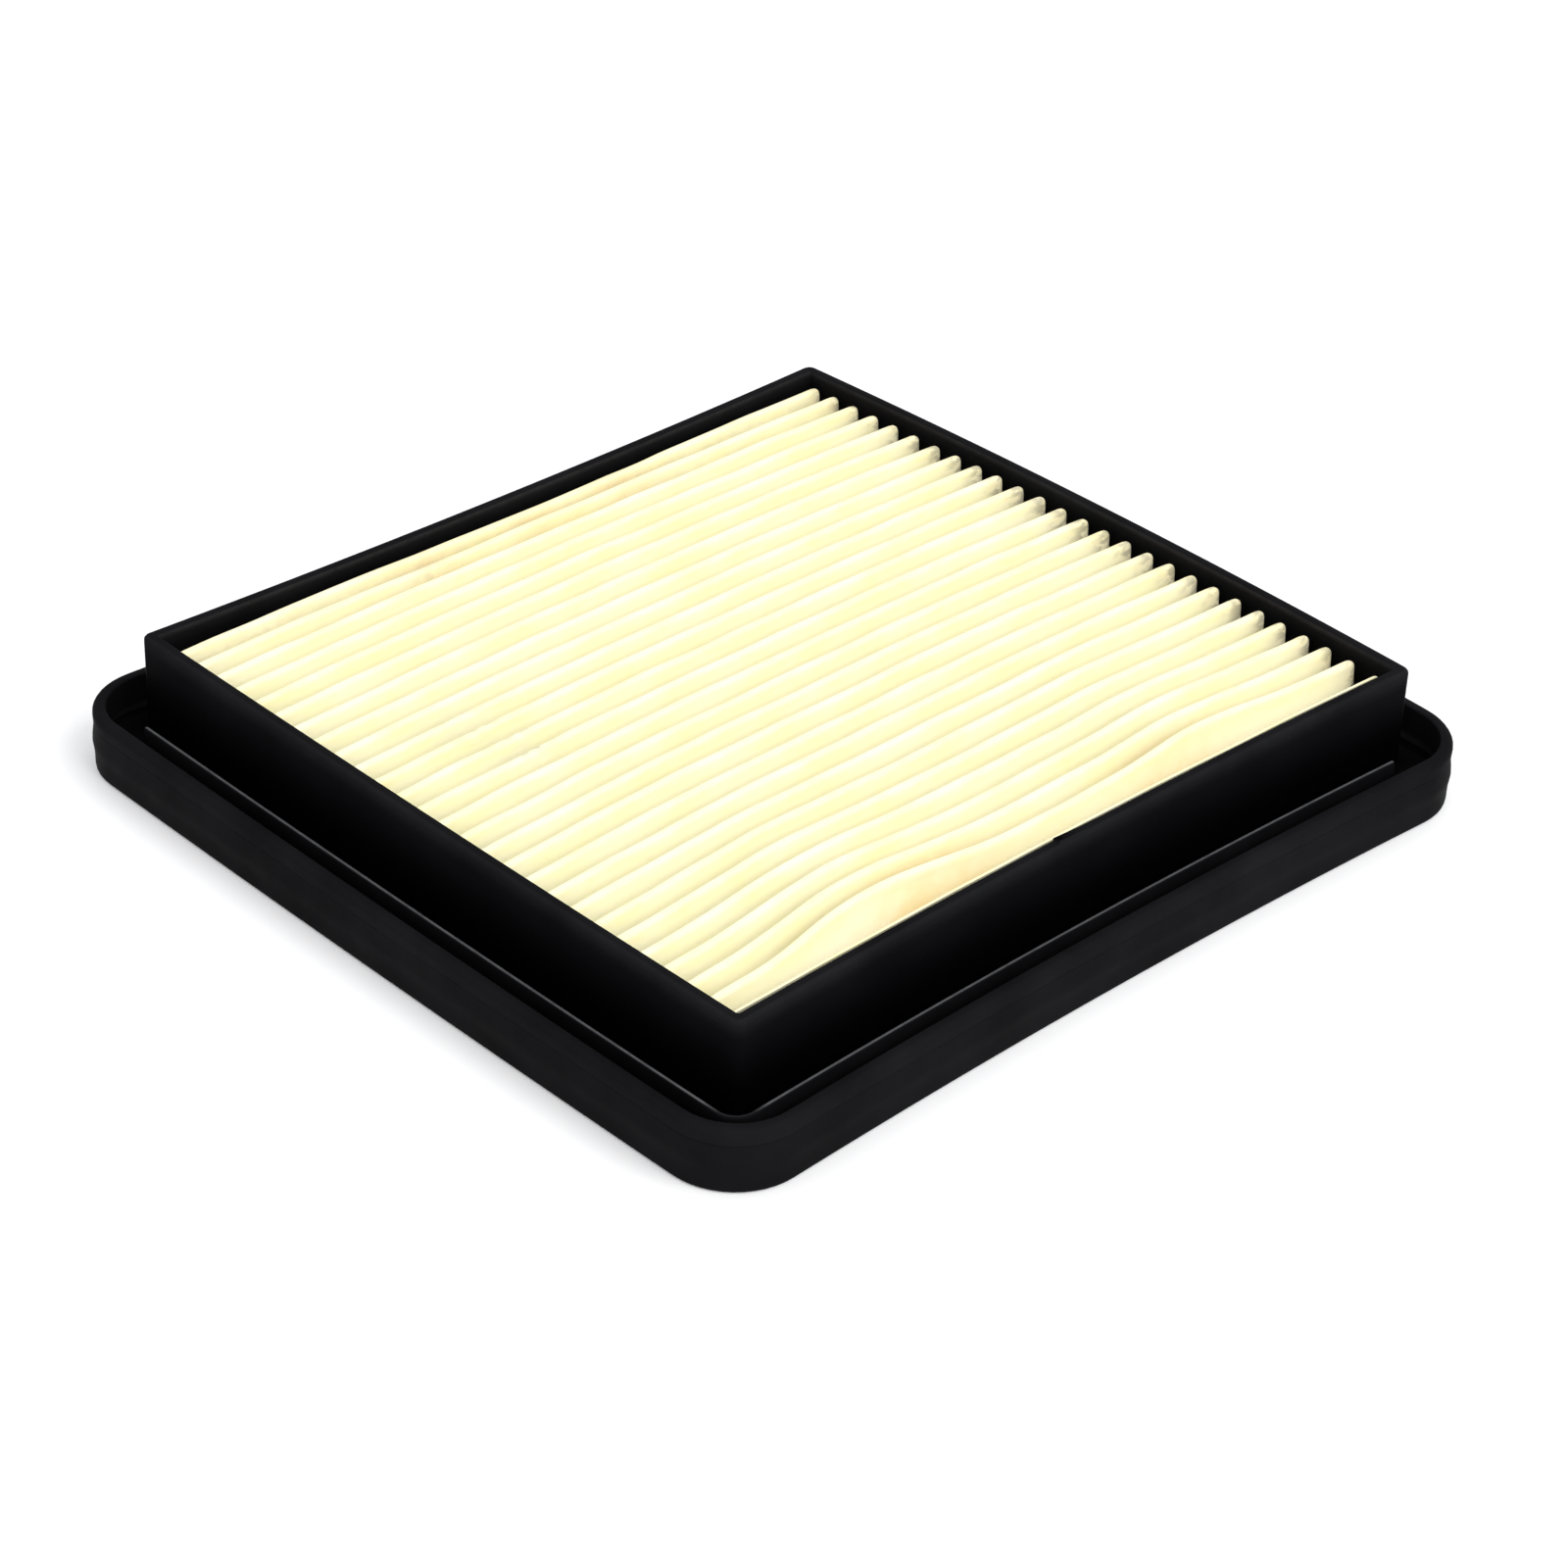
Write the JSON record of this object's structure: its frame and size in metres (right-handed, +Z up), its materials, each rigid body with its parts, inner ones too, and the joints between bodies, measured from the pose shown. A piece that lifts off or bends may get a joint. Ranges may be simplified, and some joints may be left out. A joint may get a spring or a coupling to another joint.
{
  "type": "panel air filter",
  "caption": "Square panel air filter: pleated paper in a moulded frame with an upturned lip, over a wire screen, a grid and a rubber seal ring.",
  "frame": {"origin": "centre of the bounding box, on the flat underside of the seal ring", "axes": "+Z up through the filter from the seal to the rim; X along the pleats; Y across the pleats"},
  "size_m": [0.2076, 0.1936, 0.0288],
  "materials": {
    "frame_plastic": "satin black moulded plastic",
    "seal_rubber": "matt black moulded rubber",
    "grid_plastic": "matt black moulded plastic",
    "binding_metal": "folded sheet",
    "screen_wire": "woven wire",
    "filter_paper": "resin-treated cream filter paper",
    "potting": "black sealing compound",
    "hot_melt": "amber hot-melt glue"
  },
  "bodies": {
    "root": {"frame_shell": "frame_plastic", "seal_ring": "seal_rubber", "support_grid": "grid_plastic", "screen_binding": "binding_metal", "wire_screen": "screen_wire", "pleated_media": "filter_paper", "end_potting_left": "potting", "end_potting_right": "potting", "side_glue_front": "hot_melt", "side_glue_rear": "hot_melt", "pleat_thread_1": "hot_melt", "pleat_thread_2": "hot_melt", "pleat_thread_3": "hot_melt", "pleat_thread_4": "hot_melt"}
  },
  "joints": []
}
